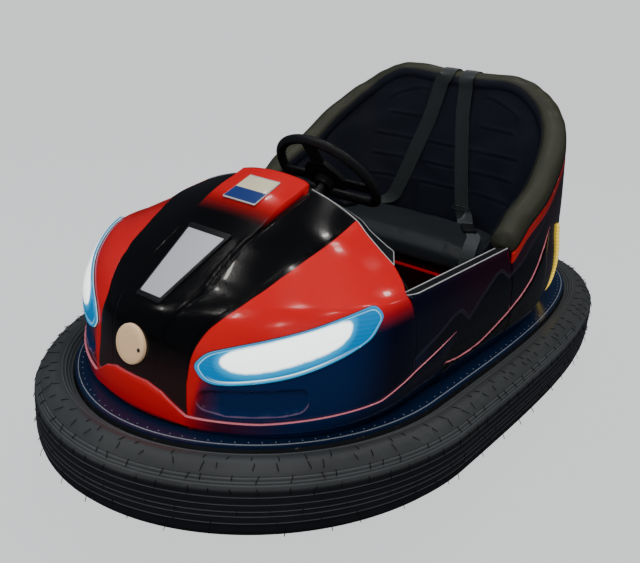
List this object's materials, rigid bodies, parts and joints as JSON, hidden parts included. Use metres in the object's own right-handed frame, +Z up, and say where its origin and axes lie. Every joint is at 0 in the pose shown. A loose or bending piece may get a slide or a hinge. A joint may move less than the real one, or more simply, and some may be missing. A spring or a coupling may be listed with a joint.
{
  "type": "two-seat bumper car",
  "caption": "Two-seat bumper car: black rubber bumper ring, red and black moulded body, padded seat, steering wheel, steered drive wheel in front and two rear wheels.",
  "frame": {"origin": "on the floor under the middle of the bumper ring", "axes": "-Y to the car's front, +X to its left, +Z up"},
  "size_m": [1.158, 1.95, 0.946],
  "materials": {
    "bumper_rubber": "satin",
    "frame_steel": "satin",
    "apron_plastic": "satin",
    "liner_black": "matte",
    "black_gelcoat": "gloss",
    "red_gelcoat": "gloss",
    "dark_gelcoat": "gloss",
    "rim_vinyl": "satin",
    "seat_vinyl": "satin",
    "webbing": "woven",
    "cap_plastic": "satin",
    "bright_metal": "satin",
    "plate_blue": "gloss",
    "lamp_blue": "gloss",
    "lamp_white": "gloss",
    "lamp_yellow": "gloss",
    "wheel_plastic": "satin",
    "shaft_steel": "brushed",
    "motor_grey": "matte",
    "wheel_rubber": "matte",
    "battery_grey": "matte"
  },
  "bodies": {
    "car": {"bumper_tyre": "bumper_rubber", "bumper_band": "frame_steel", "apron": "apron_plastic", "chassis_frame": "frame_steel", "floor_pan": "frame_steel", "cockpit_liner": "liner_black", "hood_panel": "black_gelcoat", "fender_left": "red_gelcoat", "fender_right": "red_gelcoat", "nose_lip": "red_gelcoat", "binnacle": "red_gelcoat", "side_left": "dark_gelcoat", "side_right": "dark_gelcoat", "rear_body": "dark_gelcoat", "dash_panel": "liner_black", "dash_lip": "black_gelcoat", "rim_pad": "rim_vinyl", "seat_box": "red_gelcoat", "seat_cushion": "seat_vinyl", "seat_back": "seat_vinyl", "belt_left": "webbing", "belt_right": "webbing", "nose_cap": "cap_plastic", "badge_plate": "bright_metal", "number_plate": "plate_blue", "lamp_bezels": "lamp_blue", "lamp_lenses": "lamp_white", "intakes": "liner_black", "tail_lights": "lamp_yellow", "sill_trims": "bright_metal", "pedal": "frame_steel", "column_tube": "frame_steel", "swivel_ring": "frame_steel", "drive_cover": "liner_black", "rear_axle": "shaft_steel", "battery": "battery_grey"},
    "steering": {"steering_wheel": "wheel_plastic", "steering_shaft": "shaft_steel"},
    "drive_unit": {"drive_fork": "frame_steel", "drive_motor": "motor_grey"},
    "drive_wheel_body": {"drive_wheel": "wheel_rubber"},
    "wheel_left": {"rear_wheel_left": "wheel_rubber"},
    "wheel_right": {"rear_wheel_right": "wheel_rubber"}
  },
  "joints": [
    {"name": "drive_swivel", "type": "hinge", "parent": "car", "child": "drive_unit", "pos_m": [0, -0.48, 0.17], "axis": [0, 0, 1], "continuous": true},
    {"name": "drive_spin", "type": "hinge", "parent": "drive_unit", "child": "drive_wheel_body", "pos_m": [0, -0.48, 0.08], "axis": [1, 0, 0], "continuous": true},
    {"name": "steering_turn", "type": "hinge", "parent": "car", "child": "steering", "pos_m": [0, -0.155, 0.693], "axis": [0, 0.7604, 0.6494], "continuous": true},
    {"name": "rear_spin_left", "type": "hinge", "parent": "car", "child": "wheel_left", "pos_m": [0.33, 0.45, 0.07], "axis": [1, 0, 0], "continuous": true},
    {"name": "rear_spin_right", "type": "hinge", "parent": "car", "child": "wheel_right", "pos_m": [-0.33, 0.45, 0.07], "axis": [1, 0, 0], "continuous": true}
  ],
  "couplings": [
    {"joint": "steering_turn", "follows": "drive_swivel", "ratio": 1}
  ]
}
